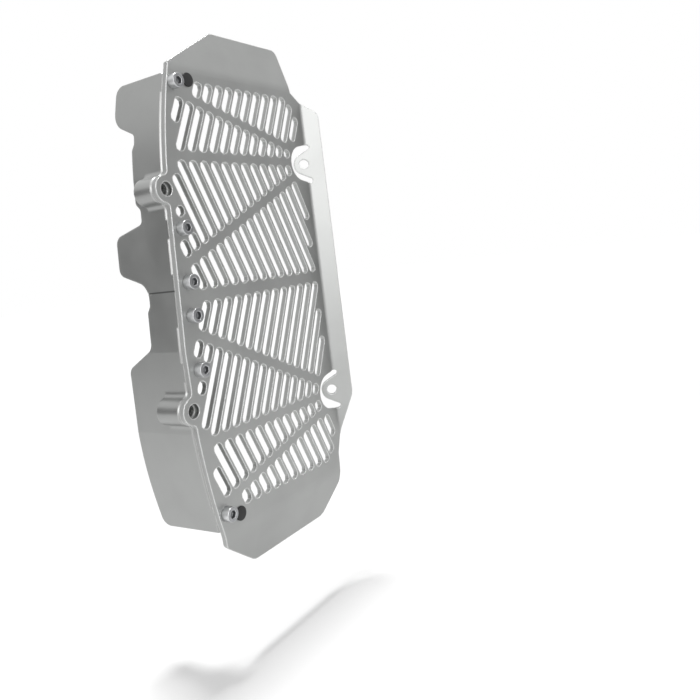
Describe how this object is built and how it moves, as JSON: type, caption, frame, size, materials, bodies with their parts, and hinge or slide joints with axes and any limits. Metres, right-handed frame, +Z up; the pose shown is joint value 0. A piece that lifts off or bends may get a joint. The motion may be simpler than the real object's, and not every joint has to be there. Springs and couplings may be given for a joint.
{
  "type": "motorcycle radiator guard",
  "caption": "Left radiator guard: folded aluminium sheet with a fan-patterned slot grille, angled mounting flange and a machined side brace.",
  "frame": {"origin": "centre of the upper mount hole, on the front face of its tongue", "axes": "+Z up along the guard, +Y back towards the radiator, +X across to the mounting flange"},
  "size_m": [0.1511, 0.0583, 0.3179],
  "materials": {
    "sheet": "satin brushed",
    "billet": "fine machined",
    "screw": "plain",
    "rubber": "matte"
  },
  "bodies": {
    "root": {"front_plate": "sheet", "side_brace": "billet", "screw_1": "screw", "screw_2": "screw", "screw_3": "screw", "screw_4": "screw", "screw_5": "screw", "screw_6": "screw", "bumper_top": "rubber", "bumper_bottom": "rubber"}
  },
  "joints": []
}
